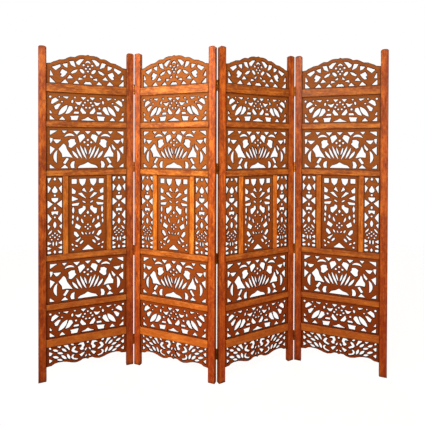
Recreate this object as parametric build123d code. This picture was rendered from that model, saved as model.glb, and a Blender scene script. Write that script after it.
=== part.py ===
from build123d import *
import math
import os

# Four-panel folding screen of carved wood. Lengths in millimetres, angles in degrees.
# The front faces -Y, +Z is up, and the origin is on the floor under the middle of the screen.

# Panel frame
panel_height = 1829.0
panel_width = 508.0
frame_thickness = 25.0
stile_width = 40.0
stile_dome = 10.0
stile_side_dome = 7.0
edge_round = 4.0
outer_edge_round = 1.5

# Rails, from the floor upward
bottom_rail_above_floor = 183.0
bottom_rail_height = 44.0
slim_rail_height = 32.0
top_rail_height = 47.0
crest_rise = 173.0
crest_below_post = 30.0

# Openings between the rails
fan_band_height = 158.0
garden_row_height = 238.0
side_column_width = 84.0
mullion_width = 28.0

# Depth of the apron at the posts
apron_drop = 110.0

# Fretwork boards and their grooves
fretwork_thickness = 6.5
fretwork_recess = 8.0
tongue_length = 5.0
corner_cutback = 2.6
saw_allowance = 0.7

# Joinery
seat_gap = 0.3
tenon_length = 22.0
shoulder_margin = 1.7
mullion_tenon_length = 12.0

# Hinges: how far each one's middle lies above the middle of its rail, from the bottom rail upward
hinge_rises = [-56.0, 2.0, 27.0, 13.5]
hinge_length = 58.0
leaf_play = 0.4
knuckle_radius = 2.6
knuckle_count = 5
knuckle_gap = 0.2
leaf_width = 18.0
leaf_thickness = 1.0
leaf_set_in = 0.5
pin_radius = 1.3
pin_clearance = 0.05
pin_head_radius = 2.1
pin_head_height = 1.4
screws_per_leaf = 3
screw_length = 12.0
screw_shank_radius = 1.3
screw_head_radius = 2.6
screw_clearance = 0.15
screw_slot_width = 0.8
screw_slot_depth = 0.6

# How each panel is turned about the vertical, from left to right
panel_angles = [20.8, -21.4, 26.9, -20.5]

# Heights that follow from the sizes above
inner_width = panel_width - 2 * stile_width
half_inner = inner_width / 2
top_rail_top = panel_height - crest_below_post - crest_rise
top_rail_foot = top_rail_top - top_rail_height
upper_band_foot = top_rail_foot - fan_band_height
rail_2_foot = upper_band_foot - slim_rail_height
upper_row_foot = rail_2_foot - garden_row_height
rail_3_foot = upper_row_foot - slim_rail_height
bottom_rail_top = bottom_rail_above_floor + bottom_rail_height
rail_5_foot = bottom_rail_top + fan_band_height
lower_row_foot = rail_5_foot + slim_rail_height
rail_4_foot = lower_row_foot + garden_row_height
middle_foot = rail_4_foot + slim_rail_height
middle_height = rail_3_foot - middle_foot
lattice_width = inner_width - 2 * (side_column_width + mullion_width)
column_centre = half_inner - side_column_width / 2
mullion_centre = half_inner - side_column_width - mullion_width / 2

# Depths and gaps that follow from the sizes above
fretwork_back = fretwork_recess + fretwork_thickness
groove_front = fretwork_recess - seat_gap
groove_back = fretwork_back + seat_gap
groove_depth = tongue_length + seat_gap
tenon_shoulder = groove_depth + shoulder_margin
panel_centre = panel_width / 2
edge_gap = 2 * leaf_thickness + leaf_play
axis_stand_off = knuckle_radius


# ---------------------------------------------------------------------------
# Outlines. Every outline is drawn in the XZ plane, and "at" turns a point of
# the drawing into a point of the board.
# ---------------------------------------------------------------------------

def rounded_outline(corners, cutback):
    # A closed outline whose corners are eased by arcs that start "cutback" from each corner.
    eased = []
    for index, corner in enumerate(corners):
        to_last = corners[index - 1] - corner
        to_next = corners[(index + 1) % len(corners)] - corner
        reach = min(cutback, 0.45 * to_last.length, 0.45 * to_next.length)
        start = corner + to_last.normalized() * reach
        end = corner + to_next.normalized() * reach
        eased.append((start, corner, end))
    edges = []
    for index, (start, corner, end) in enumerate(eased):
        next_start = eased[(index + 1) % len(eased)][0]
        edges.append(Edge.make_tangent_arc(start, corner - start, end))
        edges.append(Edge.make_line(end, next_start))
    return Wire(edges)


def side_step(start, end, distance):
    # The point beside the middle of a line, at the given distance from it.
    along = (end - start).normalized()
    across = Vector(along.Z, 0, -along.X)
    return (start + end) * 0.5 + across * distance


def grown(corners, distance):
    # A closed outline's corners after each of its sides has moved outward by the distance.
    enclosed = sum(a.Z * b.X - a.X * b.Z for a, b in zip(corners, corners[1:] + corners[:1]))
    outward = math.copysign(1, enclosed)
    sides = []
    for index, corner in enumerate(corners):
        along = (corners[(index + 1) % len(corners)] - corner).normalized()
        sides.append(Vector(-along.Z, 0, along.X) * outward)
    moved = []
    for index, corner in enumerate(corners):
        both = sides[index - 1] + sides[index]
        sharpness = max(1 + sides[index - 1].dot(sides[index]), 0.5)
        moved.append(corner + both * (distance / sharpness))
    return moved


def opening(*corners):
    def outline(at, scale):
        drawn = [at(x, z) for x, z in corners]
        return rounded_outline(grown(drawn, saw_allowance), corner_cutback * scale)
    return outline


def spot(x, z, radius):
    def outline(at, scale):
        plane = Plane(origin=at(x, z), x_dir=(1, 0, 0), z_dir=(0, -1, 0))
        return Wire([Edge.make_circle(radius * scale + saw_allowance, plane)])
    return outline


def leaf(x1, z1, x2, z2, width, bow=0.0):
    # A pointed leaf from tip to tip; "bow" bends it into a crescent.
    def outline(at, scale):
        side = math.copysign(1, at(1, 0).X - at(0, 0).X)
        first, last = at(x1, z1), at(x2, z2)
        half = width / 2 * scale + saw_allowance
        outer = side_step(first, last, side * bow * scale + half)
        inner = side_step(first, last, side * bow * scale - half)
        there = Edge.make_three_point_arc(first, outer, last)
        back = Edge.make_three_point_arc(last, inner, first)
        return Wire([there, back])
    return outline


def drop(tip_x, tip_z, x, z, radius):
    # A round opening drawn out to a point.
    def outline(at, scale):
        tip, centre = at(tip_x, tip_z), at(x, z)
        reach = tip - centre
        size = radius * scale + saw_allowance
        bend = math.degrees(math.acos(size / reach.length))
        toward = reach.normalized() * size
        first = centre + toward.rotate(Axis.Y, bend)
        last = centre + toward.rotate(Axis.Y, -bend)
        round_end = Edge.make_three_point_arc(first, centre - toward, last)
        return Wire([Edge.make_line(tip, first), round_end, Edge.make_line(last, tip)])
    return outline


# ---------------------------------------------------------------------------
# The cut patterns. x runs from the board's centre line outward, z upward from
# the foot of its opening, and each pattern is drawn for the size it names.
# "pairs" are cut on both sides of the centre line.
# ---------------------------------------------------------------------------

fan_band_pattern = {
    "half_width": 212,
    "height": 158,
    "pairs": [
        # Corner buds and the big leaves that turn in from the corners
        spot(193, 133, 5.2),
        opening((168, 129), (151, 116), (183, 94), (189, 98), (184, 118)),
        opening((141, 96), (157, 67), (167, 65), (173, 82), (153, 96)),
        spot(148, 134, 3),
        leaf(139, 110, 129, 107, 6),
        # Two long petals that rise from the middle of the foot
        leaf(107, 91, 152, 35, 23, 1.5),
        opening((97, 86), (84, 84), (79, 68), (98, 46), (117, 41)),
        spot(62, 78, 5),
        # The fan's foot
        opening((75, 45), (71, 55), (48, 55), (49, 45)),
        opening((92, 30), (49, 33), (57, 9), (87, 9), (86, 21)),
        opening((148, 9), (133, 26), (118, 9)),
        opening((195, 31), (195, 9), (171, 9)),
        opening((195, 60), (184, 43), (195, 43)),
        # Top row of small triangles
        opening((132, 137), (100, 137), (109, 126)),
        opening((74, 137), (62, 137), (68, 129)),
        opening((37, 138), (9, 138), (24, 123)),
        # Winged openings and leaves around the flower
        opening((68, 111), (50, 108), (31, 115), (43, 94), (53, 95)),
        leaf(80, 122, 83, 102, 9),
        opening((34, 80), (10, 52), (11, 46), (29, 46), (40, 63)),
        spot(15.5, 108, 4.4),
        spot(25, 93, 4.6),
        spot(9.5, 80, 4.4),
    ],
    "centre": [
        spot(0, 121, 4.2),
        opening((-38, 9), (-14, 17), (0, 27), (14, 17), (38, 9), (0, 8)),
    ],
}

garden_row_pattern = {
    "half_width": 212,
    "height": 238,
    "pairs": [
        # Top row of triangles
        opening((194, 218), (158, 218), (194, 195)),
        opening((134, 218), (109, 218), (123, 204)),
        opening((76, 217), (42, 217), (58, 198)),
        # Arched buds under the top row
        leaf(122, 184, 69, 188, 11, 11),
        opening((23, 200), (15, 183), (42, 153), (47, 172), (52, 188), (40, 197)),
        opening(
            (102, 162), (88, 172), (69, 171), (69, 158), (61, 148),
            (73, 136), (87, 124), (99, 129), (98, 147)),
        # Side leaves
        opening((195, 178), (182, 176), (183, 163), (192, 147)),
        opening((178, 169), (139, 168), (155, 151), (164, 149)),
        opening((194, 133), (171, 118), (194, 87)),
        leaf(158, 110, 160, 40, 15, -10),
        # Fan of slits over the middle of the foot
        leaf(82, 108, 50, 64, 12.5, -1),
        leaf(60, 128, 30, 63, 10, -1.5),
        leaf(41, 138, 7.5, 60, 10, -1.5),
        leaf(18, 130, 4.5, 85, 7, -1),
        opening((110, 68), (100, 62), (118, 34), (128, 40)),
        # Curls and triangles along the foot
        opening((70, 49), (84, 44), (91, 28), (87, 12), (71, 11), (73, 28)),
        opening((139, 11), (119, 29), (103, 11)),
        opening((195, 32), (195, 12), (171, 12)),
        spot(18, 155, 5),
    ],
    "centre": [
        opening((-15, 217), (15, 217), (0, 202)),
        spot(0, 168.5, 5.2),
        spot(0, 140, 5.2),
        opening((-54, 11), (-41, 24), (-18, 31), (0, 42), (18, 31), (41, 24), (54, 11)),
    ],
    "left": [
        opening(
            (-126, 146), (-116, 135), (-109, 112), (-80, 69),
            (-112, 75), (-132, 73), (-134, 91), (-151, 117)),
    ],
    "right": [
        opening((129, 147), (151, 119), (144, 110), (133, 125)),
        opening(
            (117, 135), (123, 122), (128, 106), (138, 92), (137, 73),
            (110, 75), (85, 69), (94, 88), (111, 115)),
    ],
}

lattice_pattern = {
    "half_width": 100,
    "height": 432,
    "pairs": [
        opening((83, 412), (59, 412), (59, 387), (83, 387)),
        opening((45, 412), (10, 412), (16, 386), (29, 373), (42, 390)),
        opening((20, 363), (7, 336), (30, 349)),
        opening((82, 363), (63, 346), (67, 331), (82, 332)),
        opening((50, 331), (33, 335), (8, 302), (28, 313)),
        opening((82, 317), (50, 300), (82, 289)),
        leaf(29, 289, 11, 277, 6.5),
        opening((82, 274), (44, 279), (52, 264), (81, 264)),
        opening((48, 243), (27, 250), (24, 261), (13, 256), (13, 241), (37, 213), (46, 219)),
        leaf(76, 257, 76, 220, 10.5),
        leaf(77, 212, 77, 190, 9),
        leaf(79, 184, 79, 158, 7),
        spot(16.5, 203, 3.8),
        leaf(54, 202, 54, 177, 9.5),
        leaf(33, 190, 23, 161, 8, -2),
        opening((61, 163), (36, 145), (45, 129), (67, 142)),
        spot(13, 141, 4),
        opening((71, 118), (60, 116), (46, 93), (56, 86), (71, 102)),
        leaf(33, 116, 23, 97, 7),
        leaf(13, 110, 6, 97, 5),
        opening((33, 86), (53, 59), (66, 65), (47, 78)),
        leaf(24, 67, 42, 46, 10),
        leaf(66, 42, 52, 33, 8),
        spot(76, 19, 4.6),
        leaf(83, 52, 76, 40, 8),
    ],
    "centre": [
        opening((0, 232), (6.5, 222), (0, 212), (-6.5, 222)),
        spot(0, 154, 4.2),
        spot(0, 129, 4.2),
        opening((-30, 12), (0, 39), (30, 12)),
    ],
}

column_pattern = {
    "half_width": 42,
    "height": 432,
    "pairs": [
        opening((35.5, 421), (18.5, 421), (33.5, 393)),
        opening((35.5, 381), (20.5, 366), (34.5, 337)),
        opening((35.5, 298), (11, 278), (35.5, 257)),
        opening((35.5, 226), (16.5, 198), (35.5, 173)),
        opening((35.5, 166), (23, 157), (34.5, 139)),
        leaf(33, 111, 13, 136, 7),
        spot(11.5, 107, 3.4),
        spot(23, 98, 3.4),
        spot(15.5, 83, 3.4),
        leaf(8, 73, 8, 46, 6.5),
        opening((35.5, 74), (17.5, 63), (35.5, 54)),
        opening((35.5, 46), (17.5, 36), (35.5, 27)),
        opening((35.5, 19), (19.5, 17), (20.5, 7), (35.5, 6)),
    ],
    "centre": [
        drop(0, 424, 0, 414, 5.5),
        drop(0, 378, 0, 352, 13),
        spot(0, 325, 4.8),
        opening((-17, 311), (17, 311), (14, 297), (0, 286), (-14, 297)),
        leaf(0, 264, 0, 245, 9),
        opening((-17, 237), (17, 237), (14, 218), (0, 227), (-14, 218)),
        spot(0, 205, 4.2),
        leaf(0, 182, 0, 145, 14),
        spot(0, 117, 3.6),
        spot(0, 95, 3.6),
        leaf(0, 24, 0, 5, 10),
    ],
}

crest_pattern = {
    "half_width": 212,
    "height": 173,
    "pairs": [
        # Foot of the crest
        opening((195, 35), (195, 7), (168, 7)),
        opening((138, 7), (118, 27), (103, 7)),
        opening((77, 7), (59, 24), (46, 7)),
        # Side leaves and curls
        opening((193, 74), (194, 44), (179, 45)),
        opening((184, 91), (144, 108), (142, 96), (166, 75)),
        opening((133, 82), (107, 69), (119, 50), (131, 40), (142, 44), (134, 55), (143, 63)),
        opening((131, 111), (107, 117), (107, 93), (121, 98)),
        opening((96, 129), (75, 132), (69, 114), (64, 98), (87, 109)),
        opening((62, 128), (42, 144), (21, 147), (39, 123), (46, 111), (58, 117)),
        # Leaves and buds around the middle flower
        opening((41, 90), (42, 82), (31, 68), (20, 67), (19, 77), (30, 89)),
        opening((89, 67), (81, 62), (63, 71), (53, 87), (72, 81)),
        opening((95, 53), (108, 33), (78, 37)),
        opening((47, 42), (25, 35), (50, 28)),
        opening((28, 46), (11, 60), (14, 45)),
        spot(23, 113, 5.2),
        spot(10.5, 94, 4.6),
    ],
    "centre": [
        opening((-15, 123), (-9, 134), (0, 140), (9, 134), (15, 123), (0, 131)),
        spot(0, 108, 4.2),
        spot(0, 79, 4.8),
        opening((-22, 7), (-10, 21), (0, 18), (10, 21), (22, 7)),
    ],
    # Upper edge from the post to the peak
    "edge": [
        (212, 110), (190, 113), (178, 121), (158, 129), (150, 134), (124, 137), (117, 141), (104, 149),
        (90, 155), (68, 154), (60, 160), (48, 166), (30, 169), (11, 168), (0, 173),
    ],
}

apron_pattern = {
    "half_width": 212,
    "height": 110,
    "pairs": [
        leaf(198, -5, 190, -18, 8),
        opening((198, -30), (182, -40), (192, -52), (198, -51)),
        opening((198, -69), (182, -80), (197, -91)),
        leaf(181, -20, 153, -34, 12),
        opening((162, -7), (138, -7), (146, -17)),
        opening((126, -7), (105, -7), (101, -19), (94, -33), (97, -39), (107, -26), (120, -14)),
        leaf(136, -21, 111, -44, 12),
        leaf(159, -41, 128, -51, 12),
        leaf(182, -58, 149, -71, 13),
        leaf(138, -58, 111, -85, 13.5),
        leaf(107, -56, 94, -89, 12),
        leaf(160, -78, 130, -88, 11),
        leaf(89, -6, 72, -13, 8.5),
        # Paired curls
        opening((69, -21), (62, -26), (73, -42), (50, -56), (59, -61), (79, -52), (86, -42), (79, -28)),
        opening((70, -66), (78, -78), (73, -87), (49, -94), (59, -99), (79, -92), (87, -80), (81, -67)),
        opening(
            (55, -18), (41, -8), (23, -7), (17, -26), (25, -38),
            (22, -47), (34, -50), (43, -40), (30, -27), (34, -17)),
        opening((44, -73), (28, -65), (15, -62), (25, -77), (33, -86)),
        leaf(6, -39, 15, -57, 7),
        leaf(5, -78, 14, -92, 6),
    ],
    "centre": [
        spot(0, -10, 5),
    ],
    # Lower edge from the post to the middle point
    "edge": [
        (212, -110), (198, -108), (186, -107), (171, -98), (155, -95), (126, -96), (106, -101),
        (84, -109), (62, -113), (42, -109), (25, -100), (9, -100), (0, -106),
    ],
}


def cut_outlines(pattern, width, height, centre_x, foot_z):
    # The pattern's openings, fitted to a board opening of the given size.
    wide = width / 2 / pattern["half_width"]
    high = height / pattern["height"]
    scale = min(wide, high)

    def right(x, z):
        return Vector(centre_x + x * wide, fretwork_recess, foot_z + z * high)

    def left(x, z):
        return right(-x, z)

    outlines = [shape(right, scale) for shape in pattern["pairs"]]
    outlines += [shape(left, scale) for shape in pattern["pairs"]]
    outlines += [shape(right, scale) for shape in pattern["centre"]]
    outlines += [shape(right, scale) for shape in pattern.get("left", [])]
    outlines += [shape(right, scale) for shape in pattern.get("right", [])]
    return outlines


def board(rim, openings):
    # A fretwork board: its rim and openings cut through the whole thickness.
    return Solid.extrude(Face(rim, openings), Vector(0, fretwork_thickness, 0))


def tongued_board(pattern, width, height, centre_x, foot_z):
    # A board whose four edges run into the grooves around its opening.
    left = centre_x - width / 2 - tongue_length
    right = centre_x + width / 2 + tongue_length
    low = foot_z - tongue_length
    high = foot_z + height + tongue_length
    corners = [(left, low), (right, low), (right, high), (left, high)]
    rim = Wire.make_polygon([Vector(x, fretwork_recess, z) for x, z in corners], close=True)
    return board(rim, cut_outlines(pattern, width, height, centre_x, foot_z))


def shaped_board(pattern, height, foot_z, root_z):
    # A board with one straight edge in a rail's groove and one shaped edge.
    wide = half_inner / pattern["half_width"]
    high = height / pattern["height"]
    side = half_inner + tongue_length
    reach = [(x * wide, foot_z + z * high) for x, z in pattern["edge"]]
    end_z = reach[0][1]
    right = [(side, root_z), (side, end_z)] + reach
    left = [(-x, z) for x, z in reversed(right[:-1])]
    corners = [Vector(panel_centre + x, fretwork_recess, z) for x, z in right + left]
    rim = rounded_outline(corners, corner_cutback)
    return board(rim, cut_outlines(pattern, inner_width, height, panel_centre, foot_z))


def edge_end(pattern, height, foot_z):
    # How high a shaped edge meets the posts.
    return foot_z + pattern["edge"][0][1] * height / pattern["height"]


# ---------------------------------------------------------------------------
# Frame pieces, each drawn on a panel that stands with its left edge at x = 0
# and its front face at y = 0.
# ---------------------------------------------------------------------------

def block(x1, x2, y1, y2, z1, z2):
    low_corner = (Align.MIN, Align.MIN, Align.MIN)
    return Pos(x1, y1, z1) * Box(x2 - x1, y2 - y1, z2 - z1, align=low_corner)


def rail_spans():
    # Foot and top of each rail, from the top rail down.
    return [
        (top_rail_foot, top_rail_top),
        (rail_2_foot, upper_band_foot),
        (rail_3_foot, upper_row_foot),
        (rail_4_foot, middle_foot),
        (rail_5_foot, lower_row_foot),
        (bottom_rail_above_floor, bottom_rail_top),
    ]


def domed_face(far, dome):
    # An upright face from the origin to the point "far", with an arched top.
    shoulder = Vector(0, 0, panel_height - dome)
    peak = far * 0.5 + Vector(0, 0, panel_height)
    foot = Vector(0, 0, 0)
    return Face(Wire([
        Edge.make_line(foot, far),
        Edge.make_line(far, far + shoulder),
        Edge.make_three_point_arc(far + shoulder, peak, shoulder),
        Edge.make_line(shoulder, foot),
    ]))


def domed_post():
    # A post with eased long edges and a top that is rounded both ways.
    across = Vector(stile_width, 0, 0)
    deep = Vector(0, frame_thickness, 0)
    post = block(0, stile_width, 0, frame_thickness, 0, panel_height)
    upright_edges = post.edges().filter_by(Axis.Z).sort_by(Axis.X)
    post = fillet(upright_edges[:2], outer_edge_round)
    post = fillet(post.edges().filter_by(Axis.Z).sort_by(Axis.X)[-2:], edge_round)
    front_arch = Solid.extrude(domed_face(across, stile_dome), deep)
    side_arch = Solid.extrude(domed_face(deep, stile_side_dome), across)
    return post & front_arch & side_arch


def stile():
    # Left stile: outer edge at x = 0, groove and mortises in its inner edge.
    groove_low = edge_end(apron_pattern, apron_drop, bottom_rail_above_floor) - seat_gap
    groove_high = edge_end(crest_pattern, crest_rise, top_rail_top) + seat_gap
    groove_floor = stile_width - groove_depth
    cuts = [block(groove_floor, stile_width, groove_front, groove_back, groove_low, groove_high)]
    for foot, top in rail_spans():
        mortise_low = foot + tenon_shoulder - seat_gap
        mortise_high = top - tenon_shoulder + seat_gap
        mortise_end = stile_width - tenon_length - seat_gap
        cuts.append(block(mortise_end, stile_width, groove_front, groove_back, mortise_low, mortise_high))
    return domed_post() - cuts


def hinge_heights():
    # Height of each hinge's middle, from the lowest up.
    spans = rail_spans()
    carriers = [spans[5], spans[3], spans[2], spans[0]]
    return [(foot + top) / 2 + rise for (foot, top), rise in zip(carriers, hinge_rises)]


def screw_offsets():
    # Heights of one leaf's screws from the hinge's middle.
    pitch = hinge_length / screws_per_leaf
    return [pitch * (index - (screws_per_leaf - 1) / 2) for index in range(screws_per_leaf)]


def screw_depth():
    # How far a leaf's screws lie in from the frame's face.
    return leaf_set_in + (leaf_width - leaf_set_in) / 2


def pilot_holes(outer_x, behind):
    # Holes in a stile's outer edge for the screws of one joint.
    reach = screw_length - leaf_thickness + seat_gap
    depth = frame_thickness - screw_depth() if behind else screw_depth()
    holes = []
    for height in hinge_heights():
        for offset in screw_offsets():
            hole = Cylinder(screw_shank_radius + screw_clearance, 2 * reach, rotation=(0, 90, 0))
            holes.append(Pos(outer_x, depth, height + offset) * hole)
    return holes


def rail(foot, top, groove_over, groove_under, mullions_over, mullions_under):
    # A rail with a stub tenon at each end and grooves for the boards beside it.
    left = stile_width + seat_gap
    right = panel_width - stile_width - seat_gap
    body = block(left, right, 0, frame_thickness, foot, top)
    body = fillet(body.edges().filter_by(Axis.X), edge_round)
    tenon_low = foot + tenon_shoulder
    tenon_high = top - tenon_shoulder
    tenon_left = stile_width - tenon_length
    tenon_right = panel_width - tenon_left
    tenon = block(tenon_left, tenon_right, fretwork_recess, fretwork_back, tenon_low, tenon_high)
    cuts = []
    if groove_over:
        cuts.append(block(left, right, groove_front, groove_back, top - groove_depth, top))
    if groove_under:
        cuts.append(block(left, right, groove_front, groove_back, foot, foot + groove_depth))
    half_mortise = mullion_width / 2 - tenon_shoulder + seat_gap
    mortise_depth = mullion_tenon_length + seat_gap
    for centre in (panel_centre - mullion_centre, panel_centre + mullion_centre):
        low_x = centre - half_mortise
        high_x = centre + half_mortise
        if mullions_over:
            cuts.append(block(low_x, high_x, groove_front, groove_back, top - mortise_depth, top))
        if mullions_under:
            cuts.append(block(low_x, high_x, groove_front, groove_back, foot, foot + mortise_depth))
    return (body + tenon) - cuts


def rails():
    made = []
    for index, (foot, top) in enumerate(rail_spans()):
        made.append(rail(foot, top, True, True, index == 3, index == 2))
    return made


def mullion(centre):
    # An upright between rails 3 and 4, tenoned at both ends and grooved on both sides.
    left = centre - mullion_width / 2
    right = centre + mullion_width / 2
    low = middle_foot + seat_gap
    high = rail_3_foot - seat_gap
    body = block(left, right, 0, frame_thickness, low, high)
    body = fillet(body.edges().filter_by(Axis.Z), edge_round)
    tenon = block(
        left + tenon_shoulder, right - tenon_shoulder, fretwork_recess, fretwork_back,
        middle_foot - mullion_tenon_length, rail_3_foot + mullion_tenon_length)
    cuts = [
        block(left, left + groove_depth, groove_front, groove_back, low, high),
        block(right - groove_depth, right, groove_front, groove_back, low, high),
    ]
    return (body + tenon) - cuts


def column_board(centre_x):
    return tongued_board(column_pattern, side_column_width, middle_height, centre_x, middle_foot)


def band_board(foot_z):
    return tongued_board(fan_band_pattern, inner_width, fan_band_height, panel_centre, foot_z)


def row_board(foot_z):
    return tongued_board(garden_row_pattern, inner_width, garden_row_height, panel_centre, foot_z)


def filling_pieces():
    # Everything between a panel's posts; the same for every panel.
    lattice = tongued_board(lattice_pattern, lattice_width, middle_height, panel_centre, middle_foot)
    crest = shaped_board(crest_pattern, crest_rise, top_rail_top, top_rail_top - tongue_length)
    apron_root = bottom_rail_above_floor + tongue_length
    return {
        "rails": rails(),
        "mullions": [mullion(panel_centre - mullion_centre), mullion(panel_centre + mullion_centre)],
        "crest": [crest],
        "upper_fan_band": [band_board(upper_band_foot)],
        "lower_fan_band": [band_board(bottom_rail_top)],
        "garden_rows": [row_board(upper_row_foot), row_board(lower_row_foot)],
        "side_columns": [
            column_board(panel_centre - column_centre),
            column_board(panel_centre + column_centre),
        ],
        "centre_lattice": [lattice],
        "apron": [shaped_board(apron_pattern, apron_drop, bottom_rail_above_floor, apron_root)],
    }


# ---------------------------------------------------------------------------
# Hinges, drawn open flat about an upright axis at x = 0, y = 0, with the
# frames' faces at y = axis_stand_off.
# ---------------------------------------------------------------------------

def knuckle_spans(height):
    # Foot and top of each knuckle of the hinge whose middle is at this height.
    foot = height - hinge_length / 2
    tall = (hinge_length - (knuckle_count - 1) * knuckle_gap) / knuckle_count
    return [(foot + index * (tall + knuckle_gap), foot + index * (tall + knuckle_gap) + tall)
            for index in range(knuckle_count)]


def screw_solid(clearance):
    # A countersunk wood screw along +X, its head flush with the plane x = 0.
    head = screw_head_radius + clearance
    shank = screw_shank_radius + clearance
    taper_start = screw_length - 2 * screw_shank_radius
    profile = Wire.make_polygon([
        (0, 0, 0),
        (0, 0, head),
        (leaf_thickness, 0, shank),
        (taper_start, 0, shank),
        (screw_length + clearance, 0, 0),
    ], close=True)
    return Solid.revolve(Face(profile), 360, Axis.X)


def slotted_screw():
    slot = Box(2 * screw_slot_depth, 3 * screw_head_radius, screw_slot_width)
    return screw_solid(0) - slot


def screw_places(side):
    # Where one leaf's screws go: the place of each head and the way it points.
    face_x = side * (edge_gap / 2 - leaf_thickness)
    turn = 0 if side > 0 else 180
    places = []
    for height in hinge_heights():
        for offset in screw_offsets():
            places.append(Pos(face_x, axis_stand_off + screw_depth(), height + offset) * Rot(0, 0, turn))
    return places


def leaves(side):
    # The four leaves on one side of a joint; the left side carries the odd knuckles.
    made = []
    plate_near = side * (edge_gap / 2 - leaf_thickness)
    plate_far = side * edge_gap / 2
    low_x, high_x = min(plate_near, plate_far), max(plate_near, plate_far)
    for height in hinge_heights():
        half = hinge_length / 2
        plate = block(
            low_x, high_x, axis_stand_off + leaf_set_in, axis_stand_off + leaf_width,
            height - half, height + half)
        bores = []
        for index, (foot, top) in enumerate(knuckle_spans(height)):
            if (index % 2 == 0) != (side < 0):
                continue
            tall = top - foot
            middle = (foot + top) / 2
            plate += Pos(0, 0, middle) * Cylinder(knuckle_radius, tall)
            plate += block(low_x, high_x, 0, axis_stand_off + leaf_set_in, foot, top)
            bores.append(Pos(0, 0, middle) * Cylinder(pin_radius + pin_clearance, tall))
        made.append(plate - bores)
    tools = [place * screw_solid(screw_clearance) for place in screw_places(side)]
    return [plate - tools for plate in made]


def pins():
    made = []
    for height in hinge_heights():
        top = height + hinge_length / 2
        shaft = Pos(0, 0, height) * Cylinder(pin_radius, hinge_length)
        head = Pos(0, 0, top + pin_clearance) * Cylinder(
            pin_head_radius, pin_head_height, align=(Align.CENTER, Align.CENTER, Align.MIN))
        neck = Pos(0, 0, top) * Cylinder(
            pin_radius, pin_clearance, align=(Align.CENTER, Align.CENTER, Align.MIN))
        made.append(shaft + neck + head)
    return made


def screws(side):
    return [place * slotted_screw() for place in screw_places(side)]


# ---------------------------------------------------------------------------
# Assembly
# ---------------------------------------------------------------------------

# Joints between neighbours: the first and last fold toward the front, the middle one toward the back.
joint_behind = [False, True, False]
panel_count = len(panel_angles)


def axis_point(end_x, behind):
    # A joint's axis on a panel: beyond its end and proud of its front or back face.
    depth = frame_thickness + axis_stand_off if behind else -axis_stand_off
    return Vector(end_x, depth, 0)


def turned(point, angle):
    return point.rotate(Axis.Z, angle)


def panel_origins():
    # Each panel's left front corner, when its joint axes meet its neighbours'.
    origins = [Vector(0, 0, 0)]
    for index in range(panel_count - 1):
        behind = joint_behind[index]
        right_axis = turned(axis_point(panel_width + edge_gap / 2, behind), panel_angles[index])
        left_axis = turned(axis_point(-edge_gap / 2, behind), panel_angles[index + 1])
        origins.append(origins[index] + right_axis - left_axis)
    return origins


origins = panel_origins()
fillings = filling_pieces()
left_post = stile()
right_post = Pos(panel_width, 0, 0) * mirror(left_post, Plane.YZ)
hinge_sets = {
    "left_leaves": leaves(-1),
    "right_leaves": leaves(1),
    "pins": pins(),
    "left_screws": screws(-1),
    "right_screws": screws(1),
}
nodes = {}

for index in range(panel_count):
    stand = Location(origins[index], (0, 0, panel_angles[index]))
    left, right = left_post, right_post
    if index > 0:
        left = left_post - pilot_holes(0, joint_behind[index - 1])
    if index < panel_count - 1:
        right = right_post - pilot_holes(panel_width, joint_behind[index])
    pieces_by_name = {"left_stile": [left], "right_stile": [right]}
    pieces_by_name.update(fillings)
    for name, pieces in pieces_by_name.items():
        nodes[f"panel_{index + 1}_{name}"] = [stand * piece for piece in pieces]

for index, behind in enumerate(joint_behind):
    axis = origins[index] + turned(axis_point(panel_width + edge_gap / 2, behind), panel_angles[index])
    for name, pieces in hinge_sets.items():
        carrier = index + 1 if name.startswith("right") else index
        stand = Location(axis, (0, 0, panel_angles[carrier]))
        if behind:
            pieces = [mirror(piece, Plane.XZ) for piece in pieces]
        nodes[f"hinge_{index + 1}_{name}"] = [stand * piece for piece in pieces]

# The origin goes under the middle of the screen's box.
middle = Compound([piece for pieces in nodes.values() for piece in pieces]).bounding_box().center()
shift = Pos(-middle.X, -middle.Y, 0)

os.makedirs("parts", exist_ok=True)
for name, pieces in nodes.items():
    export_step(Compound([shift * piece for piece in pieces]), f"parts/{name}.step")
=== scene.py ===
import math
import random

import bmesh
import bpy
from mathutils import Matrix, Vector


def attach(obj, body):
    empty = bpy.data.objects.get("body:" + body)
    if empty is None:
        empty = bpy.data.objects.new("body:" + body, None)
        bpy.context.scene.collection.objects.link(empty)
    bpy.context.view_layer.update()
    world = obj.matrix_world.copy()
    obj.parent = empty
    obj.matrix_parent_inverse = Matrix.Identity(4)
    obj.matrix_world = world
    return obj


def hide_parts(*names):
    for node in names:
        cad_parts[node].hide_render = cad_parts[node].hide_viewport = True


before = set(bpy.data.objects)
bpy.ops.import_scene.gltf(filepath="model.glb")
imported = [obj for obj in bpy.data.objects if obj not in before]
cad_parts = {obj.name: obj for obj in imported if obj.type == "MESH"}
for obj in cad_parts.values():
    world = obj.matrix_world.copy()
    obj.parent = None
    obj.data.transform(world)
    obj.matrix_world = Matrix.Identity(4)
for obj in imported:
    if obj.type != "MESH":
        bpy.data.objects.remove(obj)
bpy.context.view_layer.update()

scene = bpy.context.scene
scene.view_settings.view_transform = "Standard"

mm = 0.001
panelCount = 4
panelTurns = [20.8, -21.4, 26.9, -20.5]  # degrees each panel is turned about the vertical
# Each panel's tone: partly how it took the stain, partly painted light and shade for how it faces the
# lamps; 1 is the colour as mixed
panelStainAndPaintedLight = [0.7, 1.0, 0.8, 0.65]
pieceVariety = random.Random(11)
boardNames = ["crest", "upper_fan_band", "lower_fan_band", "garden_rows", "side_columns",
              "centre_lattice", "apron"]


def linear(hexColour):
    # sRGB hex to the linear colour that the shader takes
    parts = [int(hexColour[i:i + 2], 16) / 255 for i in (1, 3, 5)]
    return [c / 12.92 if c <= 0.04045 else ((c + 0.055) / 1.055) ** 2.4 for c in parts] + [1.0]


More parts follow.
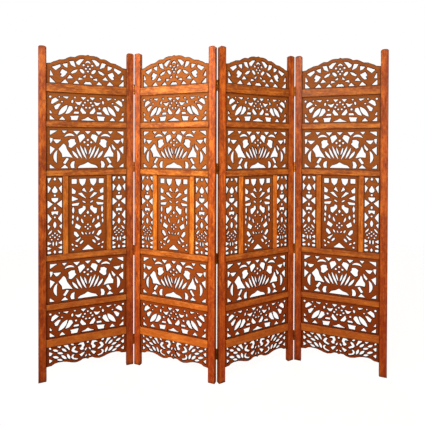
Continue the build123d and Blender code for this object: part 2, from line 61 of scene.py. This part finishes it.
def addNode(tree, kind, settings=None, **links):
    # A node with its settings, and its sockets linked or set; "in0" names a socket by its number
    node = tree.nodes.new(kind)
    for name, value in (settings or {}).items():
        setattr(node, name, value)
    for name, value in links.items():
        numbered = name[:2] == "in" and name[2:].isdigit()
        socket = node.inputs[int(name[2:]) if numbered else name.replace("_", " ")]
        if isinstance(value, bpy.types.NodeSocket):
            tree.links.new(value, socket)
        else:
            socket.default_value = value
    return node


def newMaterial(name):
    material = bpy.data.materials.new(name)
    material.use_nodes = True
    tree = material.node_tree
    tree.nodes.clear()
    return material, tree


def blendColour(tree, amount, low, high, blend="MIX"):
    kind = {"data_type": "RGBA", "blend_type": blend}
    return addNode(tree, "ShaderNodeMix", kind, in0=amount, in6=low, in7=high).outputs[2]


def spread(tree, value, low, high, outLow=0.0, outHigh=1.0):
    ends = {"in1": low, "in2": high, "in3": outLow, "in4": outHigh}
    return addNode(tree, "ShaderNodeMapRange", {}, in0=value, **ends).outputs[0]


def panelSpace(tree, turn):
    # Object coordinates turned so that x runs across the panel, y into it and z up
    place = addNode(tree, "ShaderNodeTexCoord")
    about = {"rotation_type": "Z_AXIS"}
    back = -math.radians(turn)
    point = addNode(tree, "ShaderNodeVectorRotate", about, Vector=place.outputs["Object"], Angle=back)
    facing = addNode(tree, "ShaderNodeVectorRotate", about, Vector=place.outputs["Normal"], Angle=back)
    return point.outputs[0], facing.outputs[0]


def stretched(tree, point, acrossMm, alongMm, upright):
    # Coordinates in which one unit is one grain line across and one grain line's length along
    across, along = acrossMm * mm, alongMm * mm
    size = (1 / across, 1 / across, 1 / along) if upright else (1 / along, 1 / across, 1 / across)
    return addNode(tree, "ShaderNodeMapping", {}, Vector=point, Scale=size).outputs[0]


def noise(tree, vector, detail=3.0, roughness=0.5, distortion=0.0):
    node = addNode(tree, "ShaderNodeTexNoise", {}, Vector=vector, Scale=1.0, Detail=detail,
                   Roughness=roughness, Distortion=distortion)
    return node.outputs[0]


# Stained mango wood under a rubbed satin finish: warm honey streaks on a red-brown ground
frameWood = {
    "grainWidthMm": 5.0, "grainLengthMm": 150.0,
    "poreWidthMm": 1.6, "poreLengthMm": 22.0,  # coarser than real pores, so that they show
    "patchWidthMm": 42.0, "patchLengthMm": 120.0, "mottleWidthMm": 11.0, "mottleLengthMm": 24.2,
    "roughness": 0.42, "sheen": 0.18, "cornerMm": 26.0, "edgeMm": 6.0, "roundMm": 1.5,
    "lowMm": 150.0, "highMm": 900.0, "lowShare": 0.5,  # painted light and shade toward the floor: darker and redder on posts and boards, lighter on rails
}
# Each kind's "low" colour is painted light and shade toward the floor, not stain
frameStains = {
    "post": {"ground": "#8c360e", "honey": "#b8601e", "dark": "#501a06",
             "pale": "#cc7828", "low": "#822808", "pore": "#1c0602"},
    "rail": {"ground": "#8c4418", "honey": "#ba7028", "dark": "#5c2709",
             "pale": "#cf8c3c", "low": "#b05a1a", "pore": "#1c0602"},
    "mullion": {"ground": "#aa5716", "honey": "#d4842c", "dark": "#7c380e",
                "pale": "#dc923a", "low": "#b45f18", "pore": "#1c0602"},
}


def paintedFloorwardTone(tree, point, w):
    # How far down the screen a point is, times the share of the low colour there: painted shade toward the
    # floor, a painted lift on the rails
    height = addNode(tree, "ShaderNodeSeparateXYZ", {}, Vector=point).outputs[2]
    return spread(tree, height, w["lowMm"] * mm, w["highMm"] * mm, w["lowShare"], 0.0)


def shadeOf(panel):
    # The panel's tone, partly painted light and shade, up to a tenth lighter or darker at random: no two
    # pieces come from one plank
    shade = panelStainAndPaintedLight[panel] * pieceVariety.uniform(0.9, 1.1)
    return [shade, shade, shade, 1.0]


def makeFrameWood(name, panel, kind):
    w = frameWood
    stain = frameStains[kind]
    upright = kind != "rail"
    material, tree = newMaterial(f"stainedMango_{name}{panel + 1}")
    point, facing = panelSpace(tree, panelTurns[panel])
    grain = noise(tree, stretched(tree, point, w["grainWidthMm"], w["grainLengthMm"], upright), 4, 0.6, 0.6)
    patch = noise(tree, stretched(tree, point, w["patchWidthMm"], w["patchLengthMm"], upright), 2, 0.5)
    pores = noise(tree, stretched(tree, point, w["poreWidthMm"], w["poreLengthMm"], upright), 2, 0.5)
    streaks = spread(tree, grain, 0.38, 0.66)
    colour = blendColour(tree, streaks, linear(stain["ground"]), linear(stain["honey"]))
    colour = blendColour(tree, spread(tree, patch, 0.44, 0.62, 0.0, 0.45), colour, linear(stain["dark"]))
    colour = blendColour(tree, spread(tree, patch, 0.46, 0.3, 0.0, 0.45), colour, linear(stain["pale"]))
    spots = stretched(tree, point, w["mottleWidthMm"], w["mottleLengthMm"], upright)
    mottle = noise(tree, spots, 3, 0.7, 0.4)
    colour = blendColour(tree, spread(tree, mottle, 0.5, 0.68, 0.0, 0.55), colour, linear(stain["dark"]))
    lighter = spread(tree, mottle, 0.48, 0.32, 0.0, 0.45)
    colour = blendColour(tree, lighter, colour, linear(stain["pale"]))
    poreDepth = spread(tree, pores, 0.60, 0.72)
    colour = blendColour(tree, spread(tree, poreDepth, 0, 1, 0, 0.45), colour, linear(stain["pore"]))
    # Painted shade toward the floor (a painted lift on the rails)
    colour = blendColour(tree, paintedFloorwardTone(tree, point, w), colour, linear(stain["low"]))
    endGrain = addNode(tree, "ShaderNodeSeparateXYZ", {}, Vector=facing).outputs[2]
    ends = spread(tree, endGrain, 0.3, 0.9, 0.0, 0.7 if upright else 0.0)
    colour = blendColour(tree, ends, colour, linear(stain["pore"]))
    # Multiply by the panel's tone, which is partly painted light and shade
    colour = blendColour(tree, 1.0, colour, shadeOf(panel), "MULTIPLY")
    # Painted shade: darker toward the pore colour in corners and recesses between pieces
    corner = addNode(tree, "ShaderNodeAmbientOcclusion", {"samples": 4}, Distance=w["cornerMm"] * mm)
    paintedCornerShade = spread(tree, corner.outputs["AO"], 0.35, 0.85, 0.95, 0.0)
    colour = blendColour(tree, paintedCornerShade, colour, linear(stain["pore"]))
    inward = {"samples": 4, "inside": True}
    # Painted shade on the rounded edges: darker near every edge of a piece
    edge = addNode(tree, "ShaderNodeAmbientOcclusion", inward, Distance=w["edgeMm"] * mm)
    paintedEdgeShade = spread(tree, edge.outputs["AO"], 0.6, 0.95, 0.7, 0.0)
    colour = blendColour(tree, paintedEdgeShade, colour, linear(stain["dark"]))
    rough = spread(tree, grain, 0.3, 0.7, w["roughness"] - 0.06, w["roughness"] + 0.1)
    surface = addNode(tree, "ShaderNodeMath", {"operation": "SUBTRACT"}, in0=grain, in1=poreDepth)
    soft = addNode(tree, "ShaderNodeBevel", {"samples": 4}, Radius=w["roundMm"] * mm)
    bump = addNode(tree, "ShaderNodeBump", {}, Strength=0.35, Distance=0.25 * mm,
                   Height=surface.outputs[0], Normal=soft.outputs[0])
    shader = addNode(tree, "ShaderNodeBsdfPrincipled", {}, Base_Color=colour, Roughness=rough, IOR=1.45,
                     Specular_IOR_Level=w["sheen"], Normal=bump.outputs[0])
    addNode(tree, "ShaderNodeOutputMaterial", {}, Surface=shader.outputs[0])
    return material


# The same wood sawn into fretwork: duller on its face, nearly black where the saw cut it, partly the end
# grain's stain and partly painted shade inside the openings
fretWood = {
    "ground": "#784018", "honey": "#8c5420", "dark": "#5c280c", "rim": "#2c1006", "cut": "#120401",
    "lowRim": "#200500", "lowRimMm": 500.0, "highRimMm": 1700.0,
    "grainWidthMm": 4.0, "grainLengthMm": 60.0, "patchMm": 110.0, "roughness": 0.5,
    "gougeMm": 9.0, "cornerMm": 18.0,
    # "low" is painted shade toward the floor
    "low": "#702604", "lowMm": 300.0, "highMm": 1200.0, "lowShare": 0.75,
}


def makeFretWood(panel):
    w = fretWood
    material, tree = newMaterial(f"sawnFretwork{panel + 1}")
    point, facing = panelSpace(tree, panelTurns[panel])
    grain = noise(tree, stretched(tree, point, w["grainWidthMm"], w["grainLengthMm"], False), 4, 0.6, 0.5)
    patch = noise(tree, stretched(tree, point, w["patchMm"], w["patchMm"], False), 3, 0.55)
    gouge = noise(tree, stretched(tree, point, w["gougeMm"], w["gougeMm"], False), 2, 0.5, 0.8)
    colour = blendColour(tree, spread(tree, grain, 0.36, 0.66), linear(w["ground"]), linear(w["honey"]))
    colour = blendColour(tree, spread(tree, patch, 0.4, 0.75, 0.0, 0.2), colour, linear(w["dark"]))
    # Painted shade toward the floor
    colour = blendColour(tree, paintedFloorwardTone(tree, point, w), colour, linear(w["low"]))
    # Multiply by the panel's tone, which is partly painted light and shade
    colour = blendColour(tree, 1.0, colour, shadeOf(panel), "MULTIPLY")
    # The rim colour, darker toward the floor: partly stain in the cut edges, partly painted shade
    rimHeight = addNode(tree, "ShaderNodeSeparateXYZ", {}, Vector=point).outputs[2]
    upward = spread(tree, rimHeight, w["lowRimMm"] * mm, w["highRimMm"] * mm)
    rimStainAndShade = blendColour(tree, upward, linear(w["lowRim"]), linear(w["rim"]))
    # Painted shade: darker toward the rim colour in corners and recesses
    corner = addNode(tree, "ShaderNodeAmbientOcclusion", {"samples": 4}, Distance=w["cornerMm"] * mm)
    paintedCornerShade = spread(tree, corner.outputs["AO"], 0.5, 0.95, 0.8, 0.0)
    colour = blendColour(tree, paintedCornerShade, colour, rimStainAndShade)
    # The eased rims of the openings: partly stain gathered there, partly painted shade
    depth = addNode(tree, "ShaderNodeSeparateXYZ", {}, Vector=facing).outputs[1]
    flat = addNode(tree, "ShaderNodeMath", {"operation": "ABSOLUTE"}, in0=depth).outputs[0]
    colour = blendColour(tree, spread(tree, flat, 0.92, 0.98, 1.0, 0.0), colour, rimStainAndShade)
    # Sawn walls nearly black: partly the end grain's stain, partly painted shade inside the openings
    sawn = spread(tree, flat, 0.55, 0.85, 1.0, 0.0)
    colour = blendColour(tree, sawn, colour, linear(w["cut"]))
    rough = spread(tree, sawn, 0, 1, w["roughness"], 0.85)
    bump = addNode(tree, "ShaderNodeBump", {}, Strength=0.5, Distance=0.5 * mm, Height=gouge)
    fine = addNode(tree, "ShaderNodeBump", {}, Strength=0.3, Distance=0.2 * mm, Height=grain,
                   Normal=bump.outputs[0])
    shader = addNode(tree, "ShaderNodeBsdfPrincipled", {}, Base_Color=colour, Roughness=rough, IOR=1.45,
                     Specular_IOR_Level=0.08, Normal=fine.outputs[0])
    addNode(tree, "ShaderNodeOutputMaterial", {}, Surface=shader.outputs[0])
    return material


# Rolled brass gone dull: yellow where it is rubbed, brown in the hollows
hingeBrass = {"bright": "#b47c3a", "tarnish": "#43230e", "patchMm": 6.0, "pitMm": 0.8, "roughness": 0.36}


def makeBrass():
    w = hingeBrass
    material, tree = newMaterial("dulledBrass")
    place = addNode(tree, "ShaderNodeTexCoord").outputs["Object"]
    patch = noise(tree, stretched(tree, place, w["patchMm"], w["patchMm"], True), 4, 0.6)
    fine = noise(tree, stretched(tree, place, w["pitMm"], w["pitMm"], True), 2, 0.5)
    worn = spread(tree, patch, 0.4, 0.65)
    colour = blendColour(tree, worn, linear(w["bright"]), linear(w["tarnish"]))
    rough = spread(tree, worn, 0, 1, w["roughness"], 0.6)
    bump = addNode(tree, "ShaderNodeBump", {}, Strength=0.25, Distance=0.1 * mm, Height=fine)
    shader = addNode(tree, "ShaderNodeBsdfPrincipled", {}, Base_Color=colour, Metallic=1.0,
                     Roughness=rough, Normal=bump.outputs[0])
    addNode(tree, "ShaderNodeOutputMaterial", {}, Surface=shader.outputs[0])
    return material


print("materials")
leftPosts = [makeFrameWood("leftPost", panel, "post") for panel in range(panelCount)]
rightPosts = [makeFrameWood("rightPost", panel, "post") for panel in range(panelCount)]
railWoods = [makeFrameWood("rail", panel, "rail") for panel in range(panelCount)]
mullionWoods = [makeFrameWood("mullion", panel, "mullion") for panel in range(panelCount)]
fretWoods = [makeFretWood(panel) for panel in range(panelCount)]
brass = makeBrass()


def dress(nodeName, material):
    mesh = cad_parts[nodeName].data
    mesh.materials.clear()
    mesh.materials.append(material)


fretwork = {"easeMm": 3.2, "easeDepthMm": 1.5, "weldMm": 0.02}


def easedBoard(panel, nodeName):
    # The board again, with the sawn edges of its openings and rim rubbed down
    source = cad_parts[nodeName]
    mesh = bpy.data.meshes.new(nodeName + "_eased")
    shape = bmesh.new()
    shape.from_mesh(source.data)
    bmesh.ops.remove_doubles(shape, verts=shape.verts, dist=fretwork["weldMm"] * mm)
    turn = math.radians(panelTurns[panel])
    into = Vector((-math.sin(turn), math.cos(turn), 0))
    ease, drop = fretwork["easeMm"] * mm, fretwork["easeDepthMm"] * mm
    walls = [f for f in shape.faces if abs(f.normal.dot(into)) < 0.9]
    for side in (-1, 1):
        level = max(v.co.dot(into) * side for v in shape.verts) - drop * 0.1
        flat = [f for f in shape.faces if all(v.co.dot(into) * side > level for v in f.verts)]
        bmesh.ops.inset_region(shape, faces=flat, thickness=ease, use_even_offset=False,
                               use_boundary=True)
        for v in {v for f in walls for v in f.verts if v.co.dot(into) * side > level}:
            v.co -= into * side * drop
    shape.to_mesh(mesh)
    shape.free()
    piece = bpy.data.objects.new(nodeName + "_fretwork", mesh)
    scene.collection.objects.link(piece)
    for polygon in mesh.polygons:
        polygon.use_smooth = False
    mesh.materials.append(fretWoods[panel])
    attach(piece, f"panel_{panel + 1}")
    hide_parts(nodeName)
    return piece


print("panels")
for panel in range(panelCount):
    stem = f"panel_{panel + 1}_"
    dress(stem + "left_stile", leftPosts[panel])
    dress(stem + "right_stile", rightPosts[panel])
    dress(stem + "mullions", mullionWoods[panel])
    dress(stem + "rails", railWoods[panel])
    for name in boardNames:
        easedBoard(panel, stem + name)

print("hinges")
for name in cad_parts:
    if name.startswith("hinge"):
        dress(name, brass)

print("stage")
floorSpread = {"reach": 4.0, "fadeFrom": 2.2, "fadeTo": 3.8, "thin": 0.9}
floorMesh = bpy.data.meshes.new("floor")
corner = floorSpread["reach"]
corners = [(-corner, -corner, 0), (corner, -corner, 0), (corner, corner, 0), (-corner, corner, 0)]
floorMesh.from_pydata(corners, [], [(0, 1, 2, 3)])
floor = bpy.data.objects.new("floor", floorMesh)
scene.collection.objects.link(floor)
floorMaterial, tree = newMaterial("paleFloor")
place = addNode(tree, "ShaderNodeTexCoord").outputs["Object"]
distance = addNode(tree, "ShaderNodeVectorMath", {"operation": "LENGTH"}, in0=place).outputs["Value"]
faded = spread(tree, distance, floorSpread["fadeFrom"], floorSpread["fadeTo"], floorSpread["thin"], 1.0)
solid = addNode(tree, "ShaderNodeBsdfPrincipled", {}, Base_Color=linear("#f2f1ef"), Roughness=0.9)
clear = addNode(tree, "ShaderNodeBsdfTransparent")
shader = addNode(tree, "ShaderNodeMixShader", {}, in0=faded, in1=solid.outputs[0], in2=clear.outputs[0])
addNode(tree, "ShaderNodeOutputMaterial", {}, Surface=shader.outputs[0])
floorMesh.materials.append(floorMaterial)

world = bpy.data.worlds.new("softRoom")
world.use_nodes = True
scene.world = world
tree = world.node_tree
tree.nodes.clear()
seen = addNode(tree, "ShaderNodeBackground", {}, Color=(1, 1, 1, 1), Strength=1.0)
facing = addNode(tree, "ShaderNodeTexCoord").outputs["Generated"]
height = addNode(tree, "ShaderNodeSeparateXYZ", {}, Vector=facing).outputs[2]
overhead = spread(tree, height, -0.4, 0.7, 0.2, 0.5)
felt = addNode(tree, "ShaderNodeBackground", {}, Color=linear("#fff4e6"), Strength=overhead)
ray = addNode(tree, "ShaderNodeLightPath")
direct = ray.outputs["Is Camera Ray"]
both = addNode(tree, "ShaderNodeMixShader", {}, in0=direct, in1=felt.outputs[0], in2=seen.outputs[0])
addNode(tree, "ShaderNodeOutputWorld", {}, Surface=both.outputs[0])

# Soft boxes: place and aim in metres, size in metres, strength in watts
softBoxes = {
    "key": {"place": (-1.1, -2.6, 2.5), "aim": (0.1, 0, 1.1),
            "size": 0.8, "watts": 100, "colour": "#fff2e2"},
    "window": {"place": (-3.3, -2.3, 2.3), "aim": (-0.2, 0, 1.3),
               "size": 1.8, "watts": 120, "colour": "#fff0dc"},
    "fill": {"place": (1.1, -2.0, 1.1), "aim": (0.25, 0, 1.0),
             "size": 0.9, "watts": 38, "colour": "#ffd0b0"},
    "top": {"place": (0, -0.6, 4.4), "aim": (0, 0, 0),
            "size": 4.0, "watts": 60, "colour": "#fff4e6"},
    "back": {"place": (0.4, 3.2, 2.4), "aim": (0, 0, 0.9),
             "size": 2.4, "watts": 110, "colour": "#fff0dc"},
}
for name, box in softBoxes.items():
    lamp = bpy.data.lights.new(name, "AREA")
    lamp.size = box["size"]
    lamp.energy = box["watts"]
    lamp.color = linear(box["colour"])[:3]
    light = bpy.data.objects.new(name, lamp)
    light.location = box["place"]
    ahead = Vector(box["aim"]) - Vector(box["place"])
    light.rotation_euler = ahead.to_track_quat("-Z", "Y").to_euler()
    scene.collection.objects.link(light)

camera = {
    "place": (-0.0236, -2.1022, 1.2835), "lensMm": 31.13, "sensorMm": 36.0,
    "turn": -0.191, "pitch": -0.425, "roll": 0.162, "shiftUp": -0.1487,
}
lens = bpy.data.cameras.new("camera")
lens.lens = camera["lensMm"]
lens.sensor_width = camera["sensorMm"]
lens.shift_y = camera["shiftUp"]
eye = bpy.data.objects.new("camera", lens)
turned = Matrix.Rotation(math.radians(camera["turn"]), 4, "Z")
tilted = Matrix.Rotation(math.radians(90 + camera["pitch"]), 4, "X")
rolled = Matrix.Rotation(math.radians(camera["roll"]), 4, "Z")
eye.matrix_world = Matrix.Translation(camera["place"]) @ turned @ tilted @ rolled
scene.collection.objects.link(eye)
scene.camera = eye
